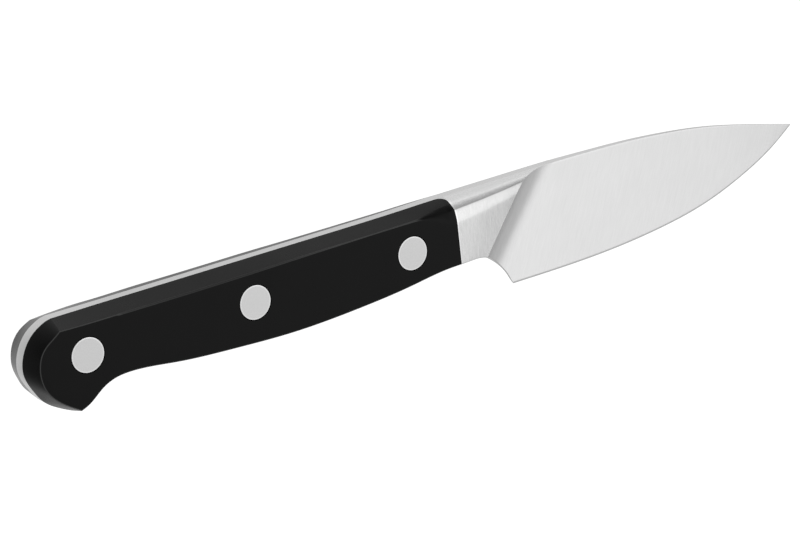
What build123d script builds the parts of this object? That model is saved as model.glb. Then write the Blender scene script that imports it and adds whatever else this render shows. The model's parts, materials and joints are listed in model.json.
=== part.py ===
from build123d import *
import math
import os

# A forged paring knife with a full tang, a tapered bolster and two black scales held by three
# cutler's rivets. Knife coordinates: x runs from the rear rivet towards the tip, y from the
# rivet line up to the spine, z from the middle of the blade's thickness towards the near scale.
# Millimetres throughout.

# Lengths along the knife
grip_length = 89.2  # rear rivet axis to the bolster's shoulder
butt_overhang = 11.9  # rear rivet axis back to the end of the butt
heel_reach = 16.65  # shoulder to the heel of the blade
blade_length = 80.25  # heel to tip
rivet_pitch_share = 0.4338  # distance between rivets, of the grip length

# Heights above and below the rivet line
spine_height = 7.75
belly_depth = 8.7
heel_depth = 16.1
bolster_depth = 5.9
tip_height = 0.3

# Handle thickness
butt_half_thickness = 6.6  # middle to the side face, at the rear rivet
side_taper = 0.56  # degrees that each side face closes towards the blade
tang_half_thickness = 1.15
tang_flare_length = 27.2  # shoulder back to where the tang begins to thicken
tang_flare_end = 1.9  # shoulder back to where the thickening turns into the shoulder
tang_flare_half_thickness = 1.35
shoulder_radius = 1.7
belly_bevel = 0.5
crease_radius = 0.4

# Bolster: an oval-cornered bar that narrows to the blade
corner_run = 3.4
corner_drop = 4.5
corner_start = 17.0  # how far behind the shoulder the rounded corner begins
corner_start_radius = 0.3
corner_start_margin = 0.15
bolster_length = 32.0
hollow_radius = 10.0
hollow_angle = 54.0  # degrees from the knife's length to the ridge
hollow_end = 22.1  # shoulder to the foot of the hollow, on the rivet line
hollow_sweep = 62.0  # degrees
hollow_sink = 0.03
hollow_overrun = 40.0

# Blade
spine_half_thickness = 1.1
edge_half_thickness = 0.2
edge_half_width = 0.03
bevel_height = 0.45
tip_blunt = 0.12
trim_margin = 1.0
blade_root = 6.0  # how far past the shoulder the blade's own thickness begins

# Rivets: each is a headed pin pressed into a headed tube, both heads ground flush
head_diameter = 7.2
head_height = 2.0
tube_diameter = 4.6
tube_bore = 3.2
pin_diameter = 3.1
head_clearance = 0.02
tube_clearance = 0.05
tang_clearance = 0.2
end_clearance = 0.3

# Outlines, as shares of the sizes that they follow.
# Butt: x of the overhang, y of the spine height. Belly: x of the grip, y of the belly depth.
tang_butt_shares = [
    (-0.378, 0.994),
    (-0.681, 0.787),
    (-0.950, 0.245),
    (-1.0, -0.245),
    (-0.878, -0.787),
    (-0.63, -1.213),
    (-0.218, -1.484),
]
face_butt_shares = [
    (-0.387, 0.813),
    (-0.622, 0.677),
    (-0.815, 0.361),
    (-0.899, -0.116),
    (-0.811, -0.658),
    (-0.605, -1.019),
    (-0.261, -1.387),
]
belly_shares = [
    (-0.011, -1.121),
    (0.021, -0.885),
    (0.055, -0.724),
    (0.095, -0.674),
    (0.214, -0.8),
    (0.365, -0.937),
    (0.519, -1.0),
    (0.705, -0.943),
    (0.857, -0.805),
    (0.963, -0.682),
]
# The crease between the top facet and the side face: x of the grip, y of the spine height.
crease_shares = [(0.224, 0.813), (0.448, 0.839), (0.65, 0.871), (0.82, 0.884), (0.92, 0.935)]
# Spine from the shoulder to the tip: x of that run, y of the spine height.
shoulder_top_share = 1.019
spine_shares = [
    (0.080, 1.034),
    (0.173, 1.058),
    (0.287, 1.086),
    (0.400, 1.06),
    (0.511, 1.018),
    (0.625, 0.915),
    (0.743, 0.735),
    (0.831, 0.535),
    (0.906, 0.33),
]
# Stations along the blade: x of the blade length, edge depth from the tip down to the heel,
# thickness of the spine's own.
blade_station_shares = [
    (-0.13, 0.99, 1.0),
    (0.0, 1.0, 1.0),
    (0.158, 1.003, 1.0),
    (0.338, 0.974, 0.8),
    (0.512, 0.895, 0.6),
    (0.68, 0.743, 0.44),
    (0.824, 0.499, 0.32),
    (0.929, 0.244, 0.22),
    (1.0, 0.0, 0.14),
]
# Choil, the curve between the bolster and the heel: x of the heel reach, y between the two.
choil_start_share = 0.28
choil_shares = [
    (0.487, 0.098),
    (0.6, 0.221),
    (0.703, 0.348),
    (0.787, 0.476),
    (0.865, 0.628),
    (0.925, 0.784),
]
choil_end_shares = (0.42, -1)  # direction in which the choil reaches the heel
# Bolster half width at stations of its length, as shares of that at the shoulder.
bolster_width_shares = [(0.0, 1.0), (0.2, 0.86), (0.42, 0.71), (0.6, 0.5), (0.8, 0.24), (1.0, 0.17)]

taper = math.tan(math.radians(side_taper))
shoulder_x = grip_length
heel_x = shoulder_x + heel_reach
tip_x = heel_x + blade_length
fore_length = tip_x - shoulder_x
rivet_pitch = rivet_pitch_share * grip_length
rivet_places = {"rear": 0, "middle": rivet_pitch, "front": 2 * rivet_pitch}
flare_start_x = shoulder_x - tang_flare_length
flare_end_x = shoulder_x - tang_flare_end
thickness_span = 4 * butt_half_thickness


def side_height(x):
    """Height of the side face above the middle of the knife at x."""
    return butt_half_thickness - taper * x


def scaled(shares, length, height):
    return [(x * length, y * height) for x, y in shares]


def box_between(low, high):
    size = [b - a for a, b in zip(low, high)]
    return Pos(*low) * Box(*size, align=(Align.MIN, Align.MIN, Align.MIN))


def handle_face(butt_shares, top_points, belly_drop):
    """Outline of the handle from the butt to the shoulder, with a line of its own at the top."""
    butt = scaled(butt_shares, butt_overhang, spine_height)
    shoulder_top = (shoulder_x, shoulder_top_share * spine_height)
    shoulder_foot = (shoulder_x, -bolster_depth)
    belly = [
        (x * grip_length, y * belly_depth - belly_drop * (1 - x)) for x, y in belly_shares
    ]
    if top_points:
        top = Spline([butt[0]] + top_points + [shoulder_top])
    else:
        top = Line(butt[0], shoulder_top)
    return make_face(
        [
            top,
            Spline(butt),
            Spline([butt[-1]] + belly + [shoulder_foot]),
            Line(shoulder_foot, shoulder_top),
        ]
    )


def tang_face():
    return handle_face(tang_butt_shares, [], belly_bevel)


def side_face():
    crease = scaled(crease_shares, grip_length, spine_height)
    return handle_face(face_butt_shares, crease, 0)


def bar_section(x, half_width, run, drop, top):
    """Section of the bolster bar at x: flat top, oval upper corners, straight sides."""
    foot = -2 * heel_depth
    right = EllipticalCenterArc((half_width - run, top - drop), run, drop, 0, arc_size=90)
    left = EllipticalCenterArc((run - half_width, top - drop), run, drop, 90, arc_size=90)
    outline = [
        Line((-half_width, foot), (half_width, foot)),
        Line((half_width, foot), right @ 0),
        right,
        Line(right @ 1, left @ 0),
        left,
        Line(left @ 1, (-half_width, foot)),
    ]
    plane = Plane(origin=(x, 0, 0), x_dir=(0, 0, -1), z_dir=(1, 0, 0))
    return plane * make_face(outline)


def shoulder_section():
    top = shoulder_top_share * spine_height
    return bar_section(shoulder_x, side_height(shoulder_x), corner_run, corner_drop, top)


def side_slab():
    """Everything between the two side faces, from behind the butt to past the tip."""
    low_x, high_x = -2 * butt_overhang, tip_x + butt_overhang
    low, high = side_height(low_x), side_height(high_x)
    outline = Polyline((low_x, -low), (high_x, -high), (high_x, high), (low_x, low), close=True)
    plane = Plane(origin=(0, 0, 0), x_dir=(1, 0, 0), z_dir=(0, -1, 0))
    return extrude(plane * make_face(outline), 2 * heel_depth, both=True)


def handle_grip():
    """Outer form of one scale with the flare under it: facets ruled from tang to side face."""
    foot = Plane.XY.offset(tang_half_thickness) * tang_face()
    tilted = Plane(
        origin=(0, 0, butt_half_thickness),
        x_dir=(math.cos(math.atan(taper)), 0, -math.sin(math.atan(taper))),
        z_dir=(math.sin(math.atan(taper)), 0, math.cos(math.atan(taper))),
    )
    body = loft([foot, tilted * side_face()], ruled=True)
    rim = body.faces().sort_by(Axis.Z)[-1].edges()
    creases = [rim.sort_by(Axis.Y)[-1], rim.sort_by(Axis.X)[0]]
    body = fillet(creases, crease_radius)
    start = shoulder_x - corner_start
    top = shoulder_top_share * spine_height + corner_start_margin
    wide = side_height(start) + corner_start_margin
    back = bar_section(start, wide, corner_start_radius, corner_start_radius, top)
    corners = loft([back, shoulder_section()], ruled=True)
    behind = box_between(
        (-2 * butt_overhang, -2 * heel_depth, 0), (start, 2 * heel_depth, thickness_span)
    )
    return body & (corners + behind)


def flare():
    """The tang's thickening into the shoulder, seen from the spine, as a tall prism."""
    rise = Line((flare_start_x, tang_half_thickness), (flare_end_x, tang_flare_half_thickness))
    corner = (shoulder_x, tang_flare_half_thickness + shoulder_radius)
    sweep = TangentArc([rise @ 1, corner], tangent=rise % 1)
    outline = [
        rise,
        sweep,
        Line(corner, (shoulder_x, 0)),
        Line((shoulder_x, 0), (flare_start_x, 0)),
        Line((flare_start_x, 0), (flare_start_x, tang_half_thickness)),
    ]
    plane = Plane(origin=(0, 0, 0), x_dir=(1, 0, 0), z_dir=(0, -1, 0))
    return extrude(plane * make_face(outline), 2 * heel_depth, both=True)


def forged_outline():
    """Side view of bolster and blade. Below the edge it is open, for the blade's own section."""
    top = (shoulder_x, shoulder_top_share * spine_height)
    tip = (tip_x, tip_height + tip_blunt)
    spine = [
        (shoulder_x + x * fore_length, y * spine_height) for x, y in spine_shares
    ]
    foot = (shoulder_x, -bolster_depth)
    choil_start = (shoulder_x + choil_start_share * heel_reach, -bolster_depth)
    heel = (heel_x, -heel_depth)
    drop = heel_depth - bolster_depth
    choil = [
        (shoulder_x + x * heel_reach, -bolster_depth - y * drop) for x, y in choil_shares
    ]
    below = -2 * heel_depth
    return make_face(
        [
            Spline([top] + spine + [tip]),
            Line(tip, (tip_x, below)),
            Line((tip_x, below), (heel_x, below)),
            Line((heel_x, below), heel),
            Spline([choil_start] + choil + [heel], tangents=[(1, 0), choil_end_shares]),
            Line(choil_start, foot),
            Line(foot, top),
        ]
    )


def blade_blank():
    """Wedge from the spine to the cutting bevel, thinner towards the tip."""
    spine = Spline(
        [(shoulder_x, shoulder_top_share * spine_height)]
        + [(shoulder_x + x * fore_length, y * spine_height) for x, y in spine_shares]
        + [(tip_x, tip_height + tip_blunt)]
    )
    sections = []
    for x_share, depth_share, thickness_share in blade_station_shares:
        x = heel_x + x_share * blade_length
        edge_y = tip_height - depth_share * (heel_depth + tip_height)
        top_y = (spine @ min((x - shoulder_x) / fore_length, 1)).Y + trim_margin
        thick = spine_half_thickness * thickness_share
        thin = min(edge_half_thickness, thick)
        outline = Polyline(
            (-thick, top_y),
            (-thin, edge_y + bevel_height),
            (-edge_half_width, edge_y),
            (edge_half_width, edge_y),
            (thin, edge_y + bevel_height),
            (thick, top_y),
            close=True,
        )
        plane = Plane(origin=(x, 0, 0), x_dir=(0, 0, -1), z_dir=(1, 0, 0))
        sections.append(plane * make_face(outline))
    return loft(sections)


def hollow_cutter(side):
    """What the hollow grind takes away on one side: a concave cylinder running out flat."""
    height = heel_depth + spine_height
    slope = (spine_half_thickness - edge_half_thickness) / height
    angle = math.radians(hollow_angle)
    along = Vector(math.cos(angle), math.sin(angle), slope * math.sin(angle))
    across = Vector(math.sin(angle), -math.cos(angle), -slope * math.cos(angle))
    middle = edge_half_thickness + slope * heel_depth - hollow_sink
    plane = Plane(origin=(shoulder_x + hollow_end, 0, middle), x_dir=across, z_dir=along * -1)
    sweep = math.radians(hollow_sweep)
    foot = (0, 0)
    top = (-hollow_radius * math.sin(sweep), hollow_radius * (1 - math.cos(sweep)))
    arc = TangentArc([foot, top], tangent=(-1, 0))
    out = (top[0] - hollow_radius * math.cos(sweep), top[1] + hollow_radius * math.sin(sweep))
    far = (hollow_overrun, out[1])
    near = (hollow_overrun, 0)
    outline = [arc, Line(top, out), Line(out, far), Line(far, near), Line(near, foot)]
    cutter = extrude(plane * make_face(outline), hollow_overrun, both=True)
    return cutter if side > 0 else mirror(cutter, Plane.XY)


def bolster():
    """Bar of oval-cornered sections from the shoulder forward, hollowed down to the blade."""
    sections = []
    for x_share, width_share in bolster_width_shares:
        x = shoulder_x + x_share * bolster_length
        wide = side_height(shoulder_x) * width_share
        run = corner_run * width_share
        drop = corner_drop * width_share
        sections.append(bar_section(x, wide, run, drop, forged_spine_height(x)))
    bar = loft(sections)
    bar = bar & extrude(forged_outline(), thickness_span, both=True)
    above_bevel = -heel_depth + 2 * bevel_height
    bar = bar & box_between(
        (shoulder_x, above_bevel, -thickness_span), (tip_x, 2 * heel_depth, thickness_span)
    )
    for side in (1, -1):
        bar = bar - hollow_cutter(side)
    return bar


def forged_spine_height(x):
    """Height of the spine line at x, between the listed points."""
    points = [(0, shoulder_top_share)] + spine_shares
    share = (x - shoulder_x) / fore_length
    for (x0, y0), (x1, y1) in zip(points, points[1:]):
        if share <= x1:
            return spine_height * (y0 + (y1 - y0) * (share - x0) / (x1 - x0))
    return spine_height * points[-1][1]


def rivet_hole(x, diameter):
    return Pos(x, 0, 0) * Cylinder(diameter / 2, thickness_span)


def forging():
    """Blade, bolster and tang, forged in one piece, with the three rivet holes."""
    tang = extrude(tang_face(), tang_half_thickness, both=True)
    blade = blade_blank() & extrude(forged_outline(), thickness_span, both=True)
    blade = blade & box_between(
        (shoulder_x + blade_root, -2 * heel_depth, -thickness_span),
        (tip_x + trim_margin, 2 * heel_depth, thickness_span),
    )
    under = handle_grip() & flare()
    body = tang + under + mirror(under, Plane.XY) + bolster() + blade
    for x in rivet_places.values():
        body = body - rivet_hole(x, tube_diameter + 2 * tang_clearance)
    return body


def scale():
    """The near scale, with stepped holes for the rivets' heads and tubes."""
    body = handle_grip() - flare()
    for x in rivet_places.values():
        seat = side_height(x) - head_height
        body = body - rivet_hole(x, tube_diameter + 2 * tube_clearance)
        body = body - Pos(x, 0, seat) * Cylinder(
            head_diameter / 2 + head_clearance,
            thickness_span,
            align=(Align.CENTER, Align.CENTER, Align.MIN),
        )
    return body


def head(x):
    """A head on the near side, its outer face flush with the side face."""
    seat = side_height(x) - head_height
    disc = Pos(x, 0, seat) * Cylinder(
        head_diameter / 2,
        2 * head_height,
        align=(Align.CENTER, Align.CENTER, Align.MIN),
    )
    return disc & side_slab()


def rivet_pin(x):
    seat = side_height(x) - head_height
    length = 2 * seat - end_clearance
    pin = Pos(x, 0, seat) * Cylinder(
        pin_diameter / 2, length, align=(Align.CENTER, Align.CENTER, Align.MAX)
    )
    return head(x) + pin


def rivet_tube(x):
    seat = side_height(x) - head_height
    length = 2 * seat - end_clearance
    tube = Pos(x, 0, -seat) * Cylinder(
        tube_diameter / 2, length, align=(Align.CENTER, Align.CENTER, Align.MIN)
    )
    bore = Pos(x, 0, -seat) * Cylinder(
        tube_bore / 2, thickness_span, align=(Align.CENTER, Align.CENTER, Align.MIN)
    )
    return mirror(head(x), Plane.XY) + tube - bore


# The knife lies on the far scale: the rear rivet's axis meets that side face at the origin.
lying = Rot(0, side_taper, 0) * Pos(0, 0, butt_half_thickness)

near_scale = scale()
pieces = {
    "blade_forging": forging(),
    "near_scale": near_scale,
    "far_scale": mirror(near_scale, Plane.XY),
}
for place, x in rivet_places.items():
    pieces[place + "_rivet_pin"] = rivet_pin(x)
    pieces[place + "_rivet_tube"] = rivet_tube(x)

os.makedirs("parts", exist_ok=True)
for name, piece in pieces.items():
    placed = lying * piece
    print(name, round(placed.volume, 1), len(placed.solids()))
    export_step(placed, "parts/" + name + ".step")
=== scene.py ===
import json
import math

import bmesh
import bpy
import numpy as np
from bpy.props import FloatProperty, FloatVectorProperty, PointerProperty
from bpy.types import Operator, Panel, PropertyGroup
from mathutils import Matrix

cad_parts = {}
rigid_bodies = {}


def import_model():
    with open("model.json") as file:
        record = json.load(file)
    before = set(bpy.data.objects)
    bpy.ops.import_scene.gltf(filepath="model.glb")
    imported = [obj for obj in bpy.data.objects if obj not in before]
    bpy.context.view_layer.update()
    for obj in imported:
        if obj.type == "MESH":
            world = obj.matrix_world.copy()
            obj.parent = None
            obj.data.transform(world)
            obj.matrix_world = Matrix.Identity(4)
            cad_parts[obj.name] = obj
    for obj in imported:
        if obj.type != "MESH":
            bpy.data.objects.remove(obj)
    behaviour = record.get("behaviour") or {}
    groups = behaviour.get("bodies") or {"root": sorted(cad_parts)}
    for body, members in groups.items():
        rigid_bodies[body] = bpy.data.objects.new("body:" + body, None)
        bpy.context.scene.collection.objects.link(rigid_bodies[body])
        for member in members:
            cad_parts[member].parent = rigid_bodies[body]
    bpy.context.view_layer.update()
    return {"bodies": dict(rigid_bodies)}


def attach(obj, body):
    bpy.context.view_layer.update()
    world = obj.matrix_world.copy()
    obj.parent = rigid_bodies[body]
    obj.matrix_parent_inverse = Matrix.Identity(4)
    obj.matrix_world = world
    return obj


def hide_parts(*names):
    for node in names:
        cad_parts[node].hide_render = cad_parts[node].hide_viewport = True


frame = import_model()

bl_info = {
    "name": "Paring knife",
    "version": (1, 0, 0),
    "blender": (4, 5, 0),
    "location": "View3D > Sidebar > Paring knife",
    "description": "Builds a forged paring knife with black scales around its packed frame",
    "category": "Mesh",
}

# Knife coordinates, in millimetres: x from the rear rivet towards the tip, y from the rivet line
# up to the spine, s from the middle of the blade's thickness towards the near scale.
MM = 0.001
RIVETS = {"rear": (-0.04, 0.06), "middle": (38.65, -0.05), "front": (77.44, -0.23)}
SHOULDER = 89.38
BUTT_HALF = 6.5975
SIDE_TAPER = math.radians(0.56)
TANG_HOLE = 2.5
# Radii of the holes in the scales, of the tube and its bore and of the pin, and how far the
# shanks end short of the opposite head.
RIVET_FITS = {"bore": 2.35, "tube": 2.3, "tube_bore": 1.6, "pin": 1.55, "end": 0.3}

# Half thickness of the tang: its swell at the butt and its flare before the shoulder.
BUTT_SWELL = 1.16
SWELL_SPAN = (-8.0, 6.0)
FLARE_START = 72.0
FLARE_TURN = 87.0
FLARE_HALF = 1.25
FLARE_END = 3.0

# Butt outlines from top to bottom, at the tang and on the side face, and the side face's belly.
TANG_BUTT = [
    (-4.3, 7.7), (-5.5, 7.44), (-6.8, 6.87), (-8.1, 6.1), (-11.3, 1.9), (-11.88, -1.9),
    (-10.2, -6.1), (-8.6, -8.5), (-7.15, -9.78), (-5.5, -10.8), (-3.95, -11.63), (-2.6, -12.27),
]
SIDE_BUTT = [
    (-5.3, 6.5), (-6.95, 5.32), (-8.6, 4.15), (-9.74, 2.8), (-10.42, 1.1), (-10.68, -0.7),
    (-10.55, -2.5), (-9.65, -5.1), (-7.2, -7.9), (-3.1, -10.78),
]
BELLY = [
    (-3.1, -10.78), (-0.98, -9.9), (1.87, -7.86), (4.9, -6.46), (8.47, -6.05), (19.1, -7.15),
    (32.6, -8.26), (46.3, -8.87), (62.9, -8.36), (76.4, -7.21), (85.9, -6.13), (89.38, -6.03),
]
BELLY_DROP = 0.5
# The far scale is ground a little lower at the top corner of the butt and fuller at its foot.
FAR_BUTT = [
    (-5.3, 5.75), (-7.9, 4.3), (-9.58, 2.3), (-10.38, 0.05), (-10.54, -2.42), (-9.8, -5.2),
    (-8.7, -7.6), (-6.6, -9.65), (-3.1, -10.78),
]
# Drop of a scale's crease at the butt, and its lift along the middle of the handle.
NEAR_TRIM = {"butt": SIDE_BUTT, "drop": 0.0, "lift": 0.0}
FAR_TRIM = {"butt": FAR_BUTT, "drop": 0.75, "lift": 0.19}
DROP_END = 6.0
LIFT_RISE = (8.0, 20.0)
LIFT_FALL = (40.0, 58.0)
# Upper edge of the tang, and the crease between the top facet and the side face.
TANG_TOP = [
    (-4.3, 7.7), (20, 7.75), (42, 7.79), (60, 7.83), (70, 7.87), (76, 7.94), (82, 8.07),
    (87, 8.17), (89.38, 8.2),
]
CREASE = [
    (-5.4, 6.5), (-2.9, 6.43), (0, 6.36), (5.4, 6.31), (20, 6.24), (31, 6.25), (40, 6.31),
    (54, 6.45), (66, 6.48), (76, 6.52), (80, 6.56), (84, 6.64), (85.7, 6.61), (87.5, 6.49),
    (89.38, 6.22),
]
# Rounding at the beak: the normals' mitre, the share of a stretch from which they turn, and how
# far round the butt the belly's radius turns into the crease's.
MITRE_WIDTH = 1.6
TURN_FROM = 0.3
BEAK_SPAN = 4.0

# The round between the top facet and the side face: how far its start lies in from the side.
ROUND_REACH = [
    (-10, 0.22), (60, 0.22), (78, 0.22), (79.2, 0.26), (80.45, 0.43), (81.8, 0.78), (83, 1.02),
    (84.2, 1.26), (85.4, 1.45), (86.5, 1.6), (87.65, 1.8), (89.38, 2.12),
]
ROUND_START = 79.0
# Turn of the surface along the bolster's corner, in degrees from straight up, by share of the
# corner's length. The step in its middle is the ground crease.
CORNER_END = [(0.355, 68), (0.42, 72), (0.55, 75), (0.68, 78), (0.8, 83), (0.9, 87), (1, 90)]
CORNER_TURN = [(0, 29), (0.03, 33), (0.2, 37), (0.335, 41), *CORNER_END]
# The same on the scale behind it, where the band under the facet is steeper.
SCALE_TURN = [(0, 29), (0.03, 40), (0.08, 46), (0.335, 52), *CORNER_END]
SCALE_TURN_END = 87.6
FACET_BULGE = 0.25
# How far the bolster's side leans in at its foot, and where that begins and is full.
SIDE_BOW = 0.14
BOW_SPAN = (89.38, 98.0)

# Bolster and blade.
SPINE = [
    (89.38, 8.2), (96.95, 8.27), (105.96, 8.34), (117, 8.395), (127.96, 8.215), (138.7, 7.89),
    (149.76, 7.09), (161.2, 5.66), (169.7, 4.0), (177, 2.34), (186.1, 0.16),
]
SPINE_FLAT = [(89.38, 1.25), (117.6, 1.1)]
CORNER_SIZE = [
    (89.38, 1.0), (92.6, 0.955), (95.35, 0.912), (98.1, 0.858), (100.9, 0.798), (103.75, 0.735),
    (106.6, 0.66), (108.6, 0.598), (111, 0.47), (113, 0.34), (115, 0.19), (116.5, 0.07),
    (117.6, 0.0),
]
BLADE_SPINE = [
    (80, 1.1), (119, 1.1), (128, 0.93), (133, 0.85), (148, 0.635), (155, 0.52), (172, 0.33),
    (180.4, 0.23), (186.1, 0.14),
]
EDGE = [
    (105.85, -16.1), (118.5, -16.11), (133, -15.67), (146.9, -14.38), (160.4, -11.88),
    (172, -7.89), (180.4, -3.78), (186.1, 0.04),
]
CHOIL = [
    (93.6, -6.03), (95.6, -6.33), (97.3, -7.04), (99.2, -8.15), (100.9, -9.45), (102.3, -10.75),
    (103.6, -12.3), (104.6, -13.9), (105.3, -15.3), (105.8, -16.1),
]
TIP = (186.1, 0.1, 0.0)
EDGE_FLAT = 0.03
# The bevel gives way where the blade is narrow, and its top is thinner than the spine. The edge's
# slope is taken over a step, the blade has a least width, and the wedge runs on a little past
# its two ends.
BEVEL_YIELD = 0.8
THIN_SHARE = 0.8
SLOPE_STEP = 0.05
LEAST_GAP = 1e-3
WEDGE_OVERRUN = 0.05
# Hollow: the turn of its foot line from the knife's length, that line's distance from the rear
# rivet, where to look for its upper end, and how the hollow rises behind it.
HOLLOW_TURN = math.radians(54.5)
HOLLOW_FOOT = 92.0
FOOT_SEARCH = (112, 122)
HOLLOW_REACH = 9.0
HOLLOW_POWER = 2.8
# Rounding of the underside: its largest share of the half thickness, the most of that that
# counts, where it begins to follow the outline, and the heights between which it thins out at
# the heel. The side rows of the bar end on the part of it before BAR_END.
EASE_SHARE = 0.42
EASE_HALF = 5.7
EASE_START = 1.5
HEEL_SPAN = (-15.4, -16.1)
BAR_END = 104.0

# Turned rim of a rivet's head: radius of its arc, as a share of the rim, and that arc's flatness.
RIM_TURN = 0.4
RIM_FALL = 0.45

# Rows and columns of the meshes. The plates round the rivets end at whole columns.
REAR_END = 8.0
COLUMN_STOPS = (REAR_END, 31.6, 45.6, 70.4, 84.4, FLARE_TURN, SHOULDER)
COLUMN_COUNTS = (30, 28, 32, 36, 10, 24)
EVEN_SHARE = 0.35
REAR_COLUMNS = 26
BUTT_COLUMNS = 96
BOLSTER_COLUMNS = 56
HOLLOW_COLUMNS = 36
BLADE_COLUMNS = 150
CHOIL_ROWS = 15
BEVEL_ROWS = 5
FACE_ROWS = 16
FACET_ROWS = np.array([0, 0.33, 0.66])
CORNER_ROWS = np.array(
    [0, 0.015, 0.03, 0.08, 0.16, 0.24, 0.3, 0.335, 0.355, 0.38, 0.41, 0.45, 0.5, 0.56, 0.64, 0.73,
     0.83, 0.91, 1]
)
RING_ROWS = np.array([0, 0.05, 0.16, 0.34, 0.56, 0.78, 1])
RIM_ROWS = np.linspace(0, 1, 5)
ZONE_ROWS = np.linspace(0, 1, 6)
RIM_STEPS = 6
LATHE_SIDES = 128
# Steps of what is worked out finely before the rows are picked.
TRACE_STEPS = 800
TURN_STEPS = 400
RUN_POINTS = 160
CHOIL_POINTS = 1200
SEARCH_POINTS = 4001
HALVINGS = 60
# Distances, in metres, and angle at which a mesh's points are merged and its edges kept sharp.
MERGE_WITHIN = 2e-6
DISSOLVE_WITHIN = 1e-7
SHARP_FROM = math.radians(27)

# Curvature, per mm, from which a convex edge begins to get a painted highlight, and at which it has
# all of it.
HIGHLIGHT_SPAN = (1.2, 3.5)
HIGHLIGHT_STEP = math.radians(15)

# Least distance between the centres of two faces, in metres, that the curvature is taken over.
LEAST_APART = 1e-6

# Finish of each steel: the setting with its colour, the angle of its lines to the knife's length in
# degrees, their spacing and length in mm, contrast, roughness and its spread, relief in mm,
# cloudiness and the share of a painted highlight on its convex edges.
FINISH_PARTS = (
    "colour", "angle", "Line Spacing", "Line Length", "Contrast", "Roughness", "Roughness Spread",
    "relief", "Cloud", "wear",
)
FORGING_STEELS = {
    "blade_ground_steel": ("steel", 68, 0.4, 4.5, 0.11, 0.34, 0.05, 0.0012, 0.07, 0.3),
    # The bolster's and the spine's colours are darker than the blade's, though all are one steel:
    # painted shade.
    "bolster_satin_steel": ("bolster", 90, 0.42, 2.0, 0.24, 0.24, 0.1, 0.004, 0.03, 1.0),
    "spine_steel": ("spine", 0, 0.2, 9.0, 0.14, 0.34, 0.05, 0.002, 0.04, 0.5),
    "bevel_steel": ("edge", 90, 0.1, 0.6, 0.08, 0.3, 0.05, 0.001, 0.02, 0.0),
}
RIVET_STEELS = {
    "rivet_brushed_steel": ("rivet", -17, 0.16, 5.0, 0.1, 0.34, 0.06, 0.001, 0.02, 1.0),
    # The turned rim is paler than the head: a painted highlight.
    "rivet_rim_steel": ("rim", -17, 0.16, 5.0, 0.06, 0.34, 0.04, 0.001, 0.02, 1.0),
}
# Which of the forging's four steels each kind of its sheets has.
STEEL_OF = {"blade": 0, "bolster": 1, "spine": 2, "tang": 2, "edge": 3}
# Painted highlight on steel edges: paler than the steel by this factor, up to a limit.
HIGHLIGHT_GAIN = 1.4
HIGHLIGHT_LIMIT = 0.9
# Noises, by their scale per mm and detail: clouds on steel and on black, and the black's grain.
# The lines' two are by their share of the line spacing and detail.
LINE_NOISES = ((1.0, 2.0), (0.31, 3.0))
LINE_ROUGHNESS = 0.6
STEEL_CLOUD = (0.09, 2.0)
BLACK_CLOUD = (0.12, 3.0)
BLACK_GRAIN = (5.0, 4.0)
# How the clouds spread the black's roughness, the darkest and palest share of its colour, the rise
# of its grain in mm, and the share of a painted highlight on its edges for each part of sheen.
CLOUD_SPAN = (0.3, 0.7)
CLOUD_SPREAD = 0.04
BLACK_TONES = (0.85, 1.15)
GRAIN_RISE = 0.0015
SHEEN_HIGHLIGHT = 10

# Stage, in metres of the row's frame.
FLOOR_HALF = 4.0
FLOOR_GAP = 0.00002
LAMPS_AIM = (0.1, -0.003, 0.008)
LAMPS_AWAY = 0.8
# Each softbox: the setting with its power, its width and depth, and the direction it stands in.
SOFTBOXES = {
    "blade_softbox": ("softbox", 0.6, 1.1, (0.42, -0.1, 0.87)),
    "bolster_softbox": ("strip", 0.5, 0.42, (0.5, 0.04, 0.85)),
}
# Share of the floor's glow in what the camera and reflections see of it.
GLOW_SHARE = 0.85
# Painted shade and light in the floor's glow as reflections see it: the span over which each sets
# in, and its levels before and after it. PAST_BUTT, a painted dark patch past the butt, runs along
# x less a part of the distance from the rivet line. BESIDE and UNDER are a painted shadow of the
# knife beside and under it; their levels change along x, and they fade out across the span of y.
# BEHIND is painted light behind the knife.
BUTT_SLANT = 0.4
PAST_BUTT = ((-0.03, -0.012), 0.12, 1.0)
BESIDE, BESIDE_FADE = ((0.002, 0.014), 1.0, 0.62), (0.008, 0.01)
UNDER, UNDER_FADE = ((0.02, 0.04), 0.2, 1.0), (-0.031, -0.009)
BEHIND = ((0.042, 0.062), 1.0, 1.45)
# Direction in which the surround grows stronger, and the camera's place, axes and lens.
BLADE_SIDE = (0.787, -0.618, 0.0)
CAMERA_PLACE = (-0.228805, 0.192613, 0.5129)
CAMERA_RIGHT = (0.832088, -0.106636, 0.544296)
CAMERA_UP = (0.258386, 0.942878, -0.210281)
CAMERA_BACK = (-0.490781, 0.315611, 0.812111)
CAMERA_SENSOR = 36
CAMERA_CLIP = (0.01, 20)


# ---------------------------------------------------------------- curves


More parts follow.
